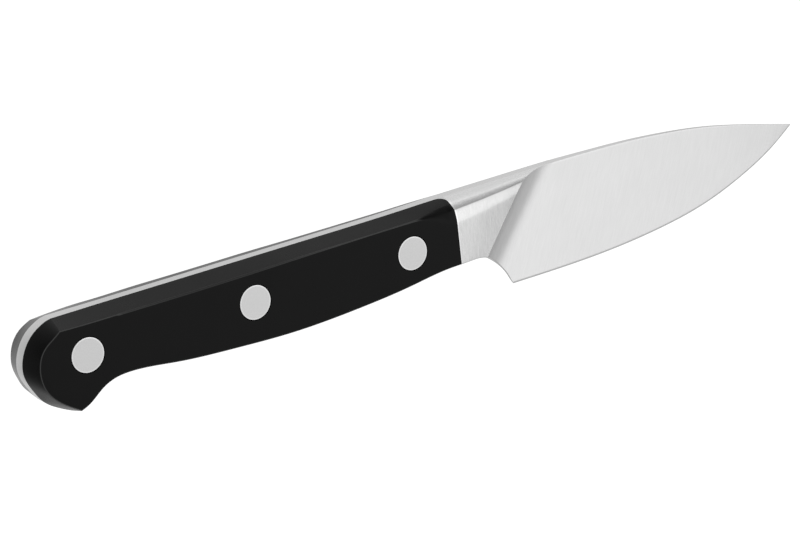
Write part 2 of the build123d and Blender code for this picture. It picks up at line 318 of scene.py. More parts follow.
def natural(knots, at):
    """Smooth curve through the knots: cubic pieces with equal slope and bend where they meet, and
    no bend at the ends."""
    knots = np.asarray(knots, float)
    x, v = knots[:, 0], knots[:, 1:]
    h = np.diff(x)
    n = len(x)
    m, r = np.zeros((n, n)), np.zeros((n, v.shape[1]))
    m[0, 0] = m[-1, -1] = 1
    i = np.arange(1, n - 1)
    m[i, i - 1], m[i, i], m[i, i + 1] = h[:-1], 2 * (h[:-1] + h[1:]), h[1:]
    r[1:-1] = 6 * np.diff(np.diff(v, axis=0) / h[:, None], axis=0)
    bend = np.linalg.solve(m, r)
    at = np.asarray(at, float)
    k = np.clip(np.searchsorted(x, at, side="right") - 1, 0, n - 2)
    hk = h[k][..., None]
    a = (x[k + 1] - at)[..., None] / hk
    b = 1 - a
    out = a * v[k] + b * v[k + 1] + ((a**3 - a) * bend[k] + (b**3 - b) * bend[k + 1]) * hk**2 / 6
    return out[..., 0] if v.shape[1] == 1 else out


def listed(table, at):
    """Straight lines between the listed places."""
    table = np.asarray(table, float)
    return np.interp(at, table[:, 0], table[:, 1])


def between(values, stations, at):
    """Each column of values, in straight lines between the stations."""
    return np.column_stack([np.interp(at, stations, column) for column in values.T])


def run_along(points):
    """Length of a line of points from its start up to each of them."""
    return np.r_[0, np.cumsum(np.linalg.norm(np.diff(points, axis=0), axis=1))]


def traced(points, shares):
    """Smooth curve through points of the plane, at shares of its length: each coordinate is a
    natural cubic of the summed chord."""
    points = np.asarray(points, float)
    run = run_along(points)
    fine = natural(np.column_stack([run, points]), np.linspace(0, run[-1], TRACE_STEPS))
    length = run_along(fine)
    return between(fine, length, np.asarray(shares) * length[-1])


def smooth_step(at, low, high):
    """0 below low, 1 above high, and 3t^2 - 2t^3 between."""
    t = np.clip((np.asarray(at, float) - low) / (high - low), 0, 1)
    return t * t * (3 - 2 * t)


def joined(*rows):
    """Points from their coordinates."""
    return np.stack(np.broadcast_arrays(*rows), -1).astype(float)


def unit(vectors):
    """The same directions, each with a length of 1."""
    return vectors / np.linalg.norm(vectors, axis=-1, keepdims=True)


def right_of(points):
    """Unit normals of a plan curve, to its right."""
    t = unit(np.gradient(points, axis=0))
    return np.column_stack([t[:, 1], -t[:, 0]])


def circle(middle, radius, angles):
    """Points of a circle in plan."""
    return joined(middle[0] + radius * np.cos(angles), middle[1] + radius * np.sin(angles))


def raised(plan, height):
    """Points in plan with the height that a function of their place gives them."""
    return joined(plan[..., 0], plan[..., 1], height(plan[..., 0], plan[..., 1]))


def nearest(places, wanted):
    """Index of the place nearest to the wanted one."""
    return int(np.argmin(np.abs(places - wanted)))


def denser(count, both=False):
    """Shares from 0 to 1, closer together at the end or at both ends: an even part and a part
    that follows a cosine."""
    t = np.linspace(0, 1, count + 1)
    if both:
        return EVEN_SHARE * t + (1 - EVEN_SHARE) * (0.5 - 0.5 * np.cos(np.pi * t))
    left = 1 - t
    return 1 - (EVEN_SHARE * left + (1 - EVEN_SHARE) * (1 - np.cos(np.pi * left / 2)))


def coons(bottom, top, left, right):
    """Patch between four curves: each point is the blend of bottom and top, plus that of left and
    right, less that of the four corners. bottom and top run from left to right, left and right
    from bottom to top."""
    u = np.linspace(0, 1, len(bottom))[:, None, None]
    v = np.linspace(0, 1, len(left))[None, :, None]
    along = bottom[:, None] * (1 - v) + top[:, None] * v
    across = left[None] * (1 - u) + right[None] * u
    low = bottom[0] * (1 - u) * (1 - v) + bottom[-1] * u * (1 - v)
    return along + across - (low + top[0] * (1 - u) * v + top[-1] * u * v)


# ---------------------------------------------------------------- handle


def side_height(x, y=None):
    """Half thickness of the handle at x, for any y: a straight fall towards the blade."""
    return BUTT_HALF - math.tan(SIDE_TAPER) * np.asarray(x, float)


def top_line(x):
    """Height of the tang's upper edge on the handle."""
    return natural(TANG_TOP, x)


def belly_line(x):
    """Height of the side face's lower edge on the handle."""
    return natural(BELLY, x)


def tang_belly_line(x):
    """The belly at the tang hangs lower than the side face's, by an amount that fades to the
    shoulder."""
    return belly_line(x) - BELLY_DROP * (1 - np.asarray(x, float) / SHOULDER)


def flare(x, half):
    """Half thickness of the tang: it shrinks a little from the butt, stays constant, rises in a
    straight line, then in an arc of growing slope up to the start of the shoulder's corner."""
    x = np.asarray(x, float)
    stations = [*SWELL_SPAN, FLARE_START, FLARE_TURN]
    rise = np.interp(x, stations, [BUTT_SWELL * half, half, half, FLARE_HALF])
    t = np.clip((x - FLARE_TURN) / (SHOULDER - FLARE_TURN), 0, 1)
    return rise + (FLARE_END - FLARE_HALF) * (1 - np.sqrt(np.maximum(1 - t**2, 0)))


def tang_height(half):
    """The tang's half thickness as a function of the place."""
    return lambda x, y: flare(x, half)


def flat_half(x, half):
    """Half width of the flat along the handle's spine: the tang's, up to where its flare turns."""
    return np.minimum(flare(x, half), FLARE_HALF)


def top_facet(x, half, lift=0.0):
    """The top facet at each x: where it ends across the thickness, its slope, and a function of
    the distance from the middle for its height. It falls in a straight line from the flat, and
    near the shoulder sags below that by a share of t - t^2."""
    flat, top, side = flat_half(x, half), top_line(x), side_height(x)
    start = side - natural(ROUND_REACH, x)
    crease = natural(CREASE, x)
    crease += lift * smooth_step(x, *LIFT_RISE) * (1 - smooth_step(x, *LIFT_FALL))
    drop = (top - crease) * (start - flat) / (side - flat)
    bulge = FACET_BULGE * smooth_step(x, ROUND_START, SHOULDER)

    def height(s):
        t = (s - flat) / (start - flat)
        return top - drop * (t + bulge * (t * t - t))

    return start, drop / (start - flat), height


def corner_offsets(facet_turn, own_share, joint_share):
    """Rows of the round between facet and side, for a length of 1: the sum of the directions
    (cos, -sin) along it. For each column, its turn is a blend of an even one and the handle's
    own, and that a blend of the scale's and the bolster's."""
    share = np.linspace(0, 1, TURN_STEPS + 1)
    even = facet_turn[:, None] + (90 - facet_turn[:, None]) * share
    scale = listed(SCALE_TURN, share)
    own = scale + (listed(CORNER_TURN, share) - scale) * joint_share[:, None]
    turn = np.radians(even + (own - even) * own_share[:, None])
    out = np.zeros(turn.shape + (2,))
    for axis, way in enumerate((np.cos(turn), -np.sin(turn))):
        out[:, 1:, axis] = np.cumsum(way[:, 1:] + way[:, :-1], 1) * 0.5 / TURN_STEPS
    return out[:, np.rint(CORNER_ROWS * TURN_STEPS).astype(int)]


def top_section(x, half, lift=0.0):
    """Upper skin of a scale at each x: facet rows from the tang's edge, then the rows of the round
    down to the side face."""
    start, slope, height = top_facet(x, half, lift)
    edge = flare(x, half)[:, None]
    own, joint = smooth_step(x, ROUND_START, SHOULDER), smooth_step(x, SCALE_TURN_END, SHOULDER)
    offsets = corner_offsets(np.degrees(np.arctan(slope)), own, joint)
    size = (natural(ROUND_REACH, x) / offsets[:, -1, 0])[:, None]
    s_facet = edge + (start[:, None] - edge) * FACET_ROWS
    s = np.hstack([s_facet, start[:, None] + size * offsets[..., 0]])
    y = np.hstack([height(s_facet.T).T, height(start)[:, None] + size * offsets[..., 1]])
    return joined(x[:, None], y, s)


def fillet_rows(foot, corner, inward, radius, true_inward=None):
    """Rows from a line over a rounded corner: straight from foot towards corner, then an arc of
    that radius that meets the face leaving along inward. With the corner C, the arc's ends at
    C + a and C + b and its whole turn T, the point at turn w is C + a (1 - cos(T - w)) /
    (1 - cos T) + b (1 - cos w) / (1 - cos T)."""
    way = unit(corner - foot)
    real = unit(inward if true_inward is None else true_inward)
    turn = np.arccos(np.clip((way * real).sum(-1), -1, 1))
    reach = (radius * np.tan(turn / 2))[:, None]
    a, b = -way * reach, inward * reach
    straight = foot[:, None] + (corner + a - foot)[:, None] * FACET_ROWS[:, None]
    w, turn = turn[:, None] * CORNER_ROWS, turn[:, None]
    near = ((1 - np.cos(turn - w)) / (1 - np.cos(turn)))[..., None]
    far = ((1 - np.cos(w)) / (1 - np.cos(turn)))[..., None]
    arc = corner[:, None] + a[:, None] * near + b[:, None] * far
    return np.concatenate([straight, arc], 1)


def in_plane(direction):
    """A direction of the plan, kept on the tapering side face."""
    return raised(direction, lambda x, y: -math.tan(SIDE_TAPER) * x)


def mitred(normals, points, other, end):
    """Normals in which the one at that end of the points is turned into the mitre with the other
    curve's normal there, and less so up to the mitre's width away."""
    own = normals[end]
    mitre = (own + other) / (1 + own @ other)
    away = np.linalg.norm(points - points[end], axis=1)
    return normals + np.clip(1 - away / MITRE_WIDTH, 0, 1)[:, None] * (mitre - own)


def turned_to(normals, target, shares):
    """Normals that turn into the target's direction at share 1."""
    k = smooth_step(shares, TURN_FROM, 1.0)[:, None]
    return unit(normals * (1 - k) + np.asarray(target, float) * k)


def columns():
    """Places of the columns along the handle, from the rear plate's end to the shoulder."""
    stretches = zip(COLUMN_STOPS, COLUMN_STOPS[1:], COLUMN_COUNTS)
    return np.concatenate([[REAR_END], *(np.linspace(a, b, n + 1)[1:] for a, b, n in stretches)])


def handle_skin(handle, trim=NEAR_TRIM):
    """Skin of the near scale as rows for each place round the outline: along the belly from the
    shoulder back to the beak, round the butt, and forward along the top. Row 0 lies on the tang's
    edge and the last on the side face."""
    half, belly_radius = handle["tang_half"], handle["belly_radius"]
    x, rear = columns(), denser(REAR_COLUMNS)
    tang = tang_height(half)

    # Belly in front of the rear plate's end, seen from the shoulder backwards.
    back = x[::-1]
    corner = raised(joined(back, belly_line(back)), side_height)
    up = np.broadcast_to([0.0, 1.0, 0.0], corner.shape)
    foot = raised(joined(back, tang_belly_line(back)), tang)
    belly = fillet_rows(foot, corner, up, belly_radius)

    # Belly behind it, to the beak.
    foot_x = REAR_END + (TANG_BUTT[-1][0] - REAR_END) * rear
    belly_x = REAR_END + (trim["butt"][-1][0] - REAR_END) * rear
    belly_foot = raised(joined(foot_x, tang_belly_line(foot_x)), tang)
    belly_foot[:, 1] += (TANG_BUTT[-1][1] - belly_foot[-1, 1]) * rear**2
    belly_plan = joined(belly_x, belly_line(belly_x))

    # Butt, from the beak up to the rear end of the top.
    turn = denser(BUTT_COLUMNS, both=True)
    butt_foot = raised(traced(TANG_BUTT[::-1], turn), tang)
    butt_plan = traced(trim["butt"][::-1], turn)

    # Top behind the rear plate's end.
    ahead = 1 - rear[::-1]
    foot_x = TANG_TOP[0][0] + (REAR_END - TANG_TOP[0][0]) * ahead
    top_x = trim["butt"][0][0] + (REAR_END - trim["butt"][0][0]) * ahead
    fade = np.clip((DROP_END - top_x) / (DROP_END - top_x[0]), 0, 1)
    top_foot = raised(joined(foot_x, top_line(foot_x)), tang)
    top_plan = joined(top_x, natural(CREASE, top_x) - trim["drop"] * fade**2)
    top_plan[0] = trim["butt"][0]

    belly_in = turned_to(right_of(belly_plan), (0, 1), 1 - rear)
    butt_in = right_of(butt_plan)
    top_in = turned_to(right_of(top_plan), (0, -1), (top_x - top_x[0]) / (top_x[-1] - top_x[0]))
    belly_turned = mitred(belly_in, belly_plan, butt_in[0], -1)
    butt_turned = mitred(butt_in, butt_plan, belly_in[-1], 0)
    butt_turned = mitred(butt_turned, butt_plan, top_in[0], -1)
    top_turned = mitred(top_in, top_plan, butt_in[-1], 0)
    from_beak = smooth_step(np.linalg.norm(butt_plan - butt_plan[0], axis=1), 0.0, BEAK_SPAN)
    butt_radius = belly_radius + (handle["crease_radius"] - belly_radius) * from_beak

    def rounded(foot, plan, turned, inward, radius):
        corner = raised(plan, side_height)
        return fillet_rows(foot, corner, in_plane(turned), radius, in_plane(inward))

    belly_rear = rounded(belly_foot, belly_plan, belly_turned, belly_in, belly_radius)
    butt = rounded(butt_foot, butt_plan, butt_turned, butt_in, butt_radius)
    top_rear = rounded(top_foot, top_plan, top_turned, top_in, handle["crease_radius"])
    top = top_section(x, half, trim["lift"])
    belly_rear[0] = belly[-1]
    butt[0] = belly_rear[-1]
    top_rear[0] = butt[-1]
    top_rear[-1] = top[0]
    whole_rear = np.concatenate([belly_rear, butt[1:], top_rear[1:]])
    path = np.concatenate([belly, whole_rear[1:], top[1:]])
    return {"x": x, "belly": belly[::-1], "top": top, "rear": whole_rear, "path": path}


def plate(low, high, height):
    """Face between two rows of the same columns: straight lines from the lower to the upper row,
    kept on the height given for each place."""
    t = np.linspace(0, 1, FACE_ROWS + 1)[None, :, None]
    out = low[:, None] * (1 - t) + high[:, None] * t
    out[:, 1:-1] = raised(out[:, 1:-1], height)
    return out


def ring_plate(loop, middle, radius, height, angles):
    """Face between a round hole and the loop about it: straight lines from each point of the loop
    to the point of the hole at the given angle, or else in the same direction."""
    if angles is None:
        angles = np.arctan2(loop[:, 1] - middle[1], loop[:, 0] - middle[0])
    t = RING_ROWS[None, :, None]
    plan = circle(middle, radius, angles)[:, None] * (1 - t) + loop[:, None, :2] * t
    out = raised(plan, height)
    out[:, -1] = loop
    return out, angles


def face_patches(skin, row, radius, height, angles=(None, None, None)):
    """The face inside one row of the skin: plain plates between the rivets, and ring plates about
    them. Returns the patches and the angles of each ring's points."""
    low, high, rear = (skin[part][:, row] for part in ("belly", "top", "rear"))
    whole = plate(low, high, height)
    stops = (*COLUMN_STOPS[:5], SHOULDER)
    at = [nearest(skin["x"], stop) for stop in stops]
    patches = [whole[at[k] : at[k + 1] + 1] for k in (0, 2, 4)]
    loops = [[rear, whole[at[0], 1:-1][::-1]]]
    for a, b in (at[1:3], at[3:5]):
        part = whole[a : b + 1]
        loops.append([part[:, 0], part[-1, 1:-1], part[::-1, -1], part[0, 1:-1][::-1]])
    rings = [
        ring_plate(np.concatenate([*loop, loop[0][:1]]), middle, radius, height, turned)
        for loop, middle, turned in zip(loops, RIVETS.values(), angles)
    ]
    return patches + [ring for ring, _ in rings], [turned for _, turned in rings]


def hole_wall(angles, middle, rings):
    """Wall of a stepped hole: circles of the given radius and height, one after the other."""
    return np.stack([raised(circle(middle, radius, angles), height) for radius, height in rings], 1)


def shoulder_cap(skin, half):
    """End of the scale at the shoulder, between the tang's flare and the side face."""
    low, high = skin["belly"][-1], skin["top"][-1]
    sides = [
        plate(low[None, row], high[None, row], height)[0]
        for row, height in ((0, tang_height(half)), (-1, side_height))
    ]
    return coons(low, high, *sides)


def build_scale(handle, rivet, trim):
    """Scale as grids with their finish, on the near side: skin, shoulder end, side face, inner
    face and the three stepped holes."""
    skin = handle_skin(handle, trim)
    tang = tang_height(handle["tang_half"])
    bore, wide = rivet["bore"], rivet["radius"] + rivet["gap"]
    outer, angles = face_patches(skin, -1, wide, side_height)
    inner, _ = face_patches(skin, 0, bore, tang, angles)
    plain = [skin["path"], shoulder_cap(skin, handle["tang_half"]), *outer, *inner]
    sheets = [(0, grid) for grid in plain]
    for turned, middle in zip(angles, RIVETS.values()):
        seat = head_seat(middle, rivet)
        rings = [(wide, side_height), (wide, lambda x, y: seat), (bore, lambda x, y: seat)]
        # The hole walls, round the heads and down the bores, take the darker black: painted shade.
        sheets.append((1, hole_wall(turned, middle, [*rings, (bore, tang)])))
    return sheets


# ---------------------------------------------------------------- rivets


def head_seat(middle, rivet):
    """Height of the underside of a rivet's head."""
    return float(side_height(middle[0])) - rivet["height"]


def lathe(profile, middle):
    """Surface of revolution about the rivet's axis. Each entry of the profile is a radius, a
    height, and whether that is a depth under the tapering side face."""
    turn = np.linspace(0, 2 * np.pi, LATHE_SIDES + 1)
    return np.stack(
        [
            raised(circle(middle, radius, turn), lambda x, y: side_height(x) - z if sunk else z)
            for radius, z, sunk in profile
        ],
        1,
    )


def build_rivet(rivet, middle, kind):
    """Headed pin or tube as grids with their finish, on the near side: the flat of the head, then
    the turned rim, a quarter of an ellipse, and the shank."""
    seat, radius = head_seat(middle, rivet), rivet["radius"]
    foot = rivet["end"] - seat
    turned = RIM_TURN * rivet["rim"]
    flat = [(share * (radius - rivet["rim"]), 0.0, True) for share in (0.0, 0.5, 1.0)]
    rim = [
        (radius - turned * (1 - math.sin(w)), RIM_FALL * turned * (1 - math.cos(w)), True)
        for w in np.linspace(0, np.pi / 2, RIM_STEPS)
    ]
    shank = [(radius, seat), (rivet[kind], seat), (rivet[kind], foot)]
    if kind == "tube":
        shank += [(rivet["tube_bore"], foot), (rivet["tube_bore"], seat)]
    shank.append((0.0, shank[-1][1]))
    body = [flat[-1], *rim, *((r, z, False) for r, z in shank)]
    return [(0, lathe(flat, middle)), (1, lathe(body, middle))]


# ---------------------------------------------------------------- bolster and blade


def forged_top(x):
    """Height of the spine from the shoulder to the tip."""
    return natural(SPINE, x)


def spine_plan(x):
    """Places of the spine in plan."""
    return joined(x, forged_top(x))


def edge_line(x):
    """Height of the cutting edge."""
    return natural(EDGE, x)


def bevel_line(x, height):
    """Upper end of the cutting bevel: the edge raised by the bevel's height square to the edge,
    less where the blade is narrow."""
    x = np.maximum(np.asarray(x, float), EDGE[0][0])
    ahead = np.minimum(x + SLOPE_STEP, EDGE[-1][0])
    slope = (edge_line(ahead) - edge_line(ahead - SLOPE_STEP)) / SLOPE_STEP
    rise = height * np.sqrt(1 + slope**2)
    gap = np.maximum(forged_top(x) - edge_line(x), LEAST_GAP)
    return edge_line(x) + rise * gap / (gap + BEVEL_YIELD * rise)


def blade_half(x, y, blade):
    """Half thickness of the ground blade: it falls in a straight line from the spine to the bevel,
    and behind the foot line a hollow rises from it with a power of the distance."""
    low, spine = bevel_line(x, blade["bevel"]), listed(BLADE_SPINE, x)
    thin = np.minimum(blade["thin"], THIN_SHARE * spine)
    t = np.clip((y - low) / (forged_top(x) - low), -WEDGE_OVERRUN, 1 + WEDGE_OVERRUN)
    along = math.sin(HOLLOW_TURN) * x - math.cos(HOLLOW_TURN) * y
    back = np.clip(HOLLOW_FOOT - along, 0, None)
    return thin + (spine - thin) * t + blade["hollow"] * (back / HOLLOW_REACH) ** HOLLOW_POWER


def blade_height(blade):
    """The blade's half thickness as a function of the place."""
    return lambda x, y: blade_half(x, y, blade)


def underside(blade):
    """The underside from the shoulder to the heel, a straight run and the choil's curve: its
    outward normals, the inner line, where the sides meet its rounding, and the rounding's radius,
    which shrinks with the thickness."""
    run = joined(np.linspace(SHOULDER, CHOIL[0][0], RUN_POINTS)[:-1], CHOIL[0][1])
    outer = np.concatenate([run, traced(CHOIL, np.linspace(0, 1, CHOIL_POINTS))])
    x, y = outer.T
    first = smooth_step(x, SHOULDER, SHOULDER + EASE_START)[:, None]
    outward = right_of(outer) * first + np.array([0.0, -1.0]) * (1 - first)
    past = smooth_step(y, *HEEL_SPAN)
    half = np.minimum(blade_half(x, y, blade), EASE_HALF) * (1 - past) + EDGE_FLAT * past
    ease = np.minimum(blade["ease"], EASE_SHARE * half)
    return outward, outer - outward * ease[:, None], ease


def bar(x, row, inner):
    """Heights and half thicknesses of the bolster's bar: its rows run over the facet, round the
    corner and down the side, all scaled with the corner's size at x, and those of the side end
    on the underside's inner line."""
    size = np.maximum(natural(CORNER_SIZE, x), 0)
    bow = SIDE_BOW * row["down"] ** 2 * smooth_step(x, *BOW_SPAN)
    top = forged_top(x)
    low = np.interp(x, inner[:, 0], inner[:, 1])
    y = top - size * row["y"] + row["down"] * (low - (top - size * row["y"][-1]))
    return y, listed(SPINE_FLAT, x) + size * row["s"] - bow


def flare_facet(x, half):
    """The flare's part of the top facet, from the flat out to the scale."""
    flat, edge = flat_half(x, half)[:, None], flare(x, half)[:, None]
    s = flat + (edge - flat) * ZONE_ROWS
    zone = joined(x[:, None], top_facet(x, half)[2](s.T).T, s)
    zone[:, -1] = top_section(x, half)[:, 0]
    return zone


def bolster_sheet(facet_end, round_end, inner, blade):
    """Near side of the bolster: the rows that the facet and the round have at the shoulder, and
    more down the side, each up to where it meets the hollow, found by halving the step."""
    rows = np.concatenate([facet_end[:-1], round_end, np.repeat(round_end[-1:], FACE_ROWS, 0)])
    down = np.zeros(len(rows))
    down[-FACE_ROWS:] = np.linspace(0, 1, FACE_ROWS + 1)[1:]
    row = {"s": rows[:, 2] - FLARE_HALF, "y": top_line(SHOULDER) - rows[:, 1], "down": down}
    low, high = np.full(len(rows), SHOULDER), np.full(len(rows), CORNER_SIZE[-1][0])
    for _ in range(HALVINGS):
        middle = (low + high) / 2
        y, s = bar(middle, row, inner)
        over = s > blade_half(middle, y, blade)
        low, high = np.where(over, low, middle), np.where(over, middle, high)
    x = SHOULDER + ((low + high) / 2 - SHOULDER) * denser(BOLSTER_COLUMNS)[:, None]
    sheet = joined(x, *bar(x, row, inner))
    sheet[0, :, 2] = row["s"] + FLARE_HALF
    return sheet


def hollow_sheet(ridge, inner, blade):
    """Hollow, as a patch in plan between the ridge and its foot line, raised to its height.
    Returns it, the foot line, and where its lower side lies on the inner line."""
    way = np.array([math.cos(HOLLOW_TURN), math.sin(HOLLOW_TURN)])
    square = np.array([way[1], -way[0]])
    start = int(np.argmin(np.linalg.norm(inner - ridge[-1, :2], axis=1)))
    after = np.arange(len(inner)) > start
    end = int(np.argmax(after & (inner @ square >= HOLLOW_FOOT)))
    spine = spine_plan(np.linspace(*FOOT_SEARCH, SEARCH_POINTS))
    foot_top = spine_plan(np.interp(HOLLOW_FOOT, spine @ square, spine[:, 0]))
    run = ridge[:, :2] @ way
    share = (run - run[0]) / (run[-1] - run[0])
    foot_line = foot_top + (inner[end] - foot_top) * share[:, None]
    across = np.linspace(0, 1, HOLLOW_COLUMNS + 1)
    low_at = np.rint(start + (end - start) * across).astype(int)
    low = inner[low_at]
    low[0] = ridge[-1, :2]
    high = spine_plan(ridge[0, 0] + (foot_top[0] - ridge[0, 0]) * across)
    high[0] = ridge[0, :2]
    plan = coons(low, high, ridge[::-1, :2], foot_line[::-1])
    hollow = raised(plan, blade_height(blade))
    hollow[0] = ridge[::-1]
    return hollow, foot_line, low_at


def blade_sheet(hollow_end, foot_line, start, inner, blade):
    """Blade from the foot line and the choil to the tip: straight lines from the bevel to the
    spine, and the bend of the left side, which fades with the square of the distance. Returns it
    and where the choil's rows lie on the inner line."""
    bevel_y = float(bevel_line(EDGE[0][0], blade["bevel"]))
    end = int(np.argmax((np.arange(len(inner)) > start) & (inner[:, 1] <= bevel_y)))
    choil_at = np.rint(np.linspace(start, end, CHOIL_ROWS)).astype(int)
    left = np.concatenate([inner[choil_at][::-1], foot_line[::-1][1:]])
    shares = denser(BLADE_COLUMNS)
    high = spine_plan(foot_line[0, 0] + (TIP[0] - foot_line[0, 0]) * shares)
    low_x = inner[end, 0] + (TIP[0] - inner[end, 0]) * shares
    low = joined(low_x, bevel_line(low_x, blade["bevel"]))
    low[0] = inner[end]
    v = run_along(left)[:, None]
    v = v / v[-1]
    bend = left - (low[0] + (high[0] - low[0]) * v)
    plan = low[:, None] * (1 - v) + high[:, None] * v + bend * (1 - shares[:, None, None]) ** 2
    face = raised(plan, blade_height(blade))
    face[0, CHOIL_ROWS - 1 :] = hollow_end
    face[-1] = TIP
    return face, choil_at


def edge_sheets(bevel_top, heel_at, inner):
    """Cutting bevel, and the edge itself down to the middle of the thickness."""
    x = inner[-1, 0] + (TIP[0] - inner[-1, 0]) * denser(BLADE_COLUMNS)
    edge = joined(x, edge_line(np.maximum(x, EDGE[0][0])), EDGE_FLAT)
    edge[0, :2] = inner[-1]
    edge[-1] = TIP
    fall = np.linspace(0, 1, BEVEL_ROWS)[:, None]
    bevel = bevel_top[:, None] * (1 - fall) + edge[:, None] * fall
    bevel[0, :, :2] = inner[heel_at]
    return [bevel, np.stack([edge, edge * [1, 1, 0]], 1)]


def from_middle(row):
    """Rows from the middle of the thickness straight out to the given one."""
    out = np.repeat(row[:, None], len(RIM_ROWS), 1)
    out[..., 2] *= RIM_ROWS
    return out


def underside_sheet(near, outward, ease, skin_end, foot_share):
    """Underside, from the middle of the thickness out and over a small round to the sides' lowest
    row. The first column takes the rows of the scale's end."""
    corner = near.copy()
    corner[:, :2] += outward * ease[:, None]
    foot = corner * [1, 1, foot_share]
    rounding = fillet_rows(foot, corner, joined(-outward[:, 0], -outward[:, 1], 0), ease)
    rounding[:, -1] = near
    sheet = np.concatenate([from_middle(foot)[:, :-1], rounding], 1)
    sheet[0, len(RIM_ROWS) - 1 :] = skin_end
    sheet[-1, 1:] = near[-1]
    sheet[-1, 0] = near[-1] * [1, 1, 0]
    return sheet


def build_forging(handle, blade):
    """Near half of the forging as grids, listed by the kind of surface."""
    half = handle["tang_half"]
    skin = handle_skin(handle)
    x, tang = skin["x"], tang_height(half)

    # Rim and sides of the tang, with the rivets' holes and the mirror of the scale's end.
    path = skin["path"][:, 0].copy()
    path[-len(x) :, 1:] = joined(top_line(x), flat_half(x, half))
    zone = flare_facet(x[nearest(x, FLARE_TURN) :], half)
    sides, angles = face_patches(skin, 0, TANG_HOLE, tang)
    rings = [(TANG_HOLE, tang), (TANG_HOLE, lambda px, py: 0.0)]
    walls = [hole_wall(turned, middle, rings) for turned, middle in zip(angles, RIVETS.values())]

    # Bolster, hollow, blade and bevel.
    outward, inner, ease = underside(blade)
    front = inner[: np.searchsorted(inner[:, 0], BAR_END)]
    bolster = bolster_sheet(zone[-1], skin["top"][-1], front, blade)
    hollow, foot_line, hollow_at = hollow_sheet(bolster[-1], inner, blade)
    face, choil_at = blade_sheet(hollow[-1], foot_line, hollow_at[-1], inner, blade)
    heel_at = np.rint(np.linspace(choil_at[-1], len(inner) - 1, BEVEL_ROWS)).astype(int)
    edge = edge_sheets(face[:, 0], heel_at, inner)

    # Spine and underside, along the upper and the lower row of these.
    high = np.concatenate([bolster[:, 0], hollow[1:, -1], face[1:, -1]])
    choil = face[0, :CHOIL_ROWS][::-1]
    near = np.concatenate([bolster[:, -1], hollow[1:, 0], choil[1:], edge[0][0, 1:]])
    bolster_at = np.interp(bolster[:, -1, 0], front[:, 0], np.arange(len(front)))
    at = np.concatenate([bolster_at, hollow_at[1:], choil_at[1:], heel_at[1:]])
    index = np.arange(len(inner))
    outward, ease = between(outward, index, at), np.interp(at, index, ease)
    foot_share = flare(SHOULDER, half) / side_height(SHOULDER)
    below = underside_sheet(near, outward, ease, skin["belly"][-1], foot_share)
    return {
        "spine": [from_middle(path), zone, from_middle(high), below],
        "bolster": [bolster],
        "blade": [hollow, face],
        "edge": edge,
        "tang": [*sides, *walls, shoulder_cap(skin, half)],
    }


# ---------------------------------------------------------------- meshes


def laid_down(points):
    """Knife coordinates to the row frame in metres: raised by the butt's half thickness and tipped
    about Y by the side taper, so that the far side face lies on the floor."""
    x, y, z = points[:, 0], points[:, 1], points[:, 2] + BUTT_HALF
    c, s = math.cos(SIDE_TAPER), math.sin(SIDE_TAPER)
    return MM * np.column_stack([x * c + z * s, y, -x * s + z * c])


def sheet_mesh(sheets):
    """Points and four-sided faces of several grids, one after the other, with each face's
    finish."""
    points, faces, finish, start = [], [], [], 0
    for number, grid in sheets:
        n, m = grid.shape[:2]
        index = start + np.arange(n * m).reshape(n, m)
        corners = [index[:-1, :-1], index[1:, :-1], index[1:, 1:], index[:-1, 1:]]
        faces.append(np.stack(corners, -1).reshape(-1, 4))
        points.append(grid.reshape(-1, 3))
        finish.append(np.full((n - 1) * (m - 1), number))
        start += n * m
    return np.concatenate(points), np.concatenate(faces), np.concatenate(finish)


def read(items, name, kind, width=1):
    """A property of all items of a mesh's collection, as an array."""
    out = np.empty(len(items) * width, kind)
    items.foreach_get(name, out)
    return out.reshape(-1, width) if width > 1 else out


def mark_edge_highlight(mesh, sharp_too):
    """Writes the mask of a painted edge highlight as a vertex attribute, 0 to 1 at each vertex,
    from the curvature across its convex edges: the angle between the two faces over the distance of
    their centres. Edges that turn by more than the highlight's step at once count only where
    sharp_too is set."""
    normal, centre = (read(mesh.polygons, name, float, 3) for name in ("normal", "center"))
    total, edge = read(mesh.polygons, "loop_total", int), read(mesh.loops, "edge_index", int)
    face = np.repeat(np.arange(len(total)), total)[np.argsort(edge, kind="stable")].reshape(-1, 2)
    apart = centre[face[:, 1]] - centre[face[:, 0]]
    angle = np.arccos(np.clip(np.sum(normal[face[:, 0]] * normal[face[:, 1]], 1), -1, 1))
    counted = (np.sum(apart * normal[face[:, 0]], 1) < 0) & (sharp_too | (angle < HIGHLIGHT_STEP))
    curvature = angle / np.maximum(np.linalg.norm(apart, axis=1), LEAST_APART) * MM
    highlight = np.where(counted, smooth_step(curvature, *HIGHLIGHT_SPAN), 0)
    value = np.zeros(len(mesh.vertices))
    np.maximum.at(value, read(mesh.edges, "vertices", int, 2), highlight[:, None])
    mesh.attributes.new("worn_edge", "FLOAT", "POINT").data.foreach_set("value", value)


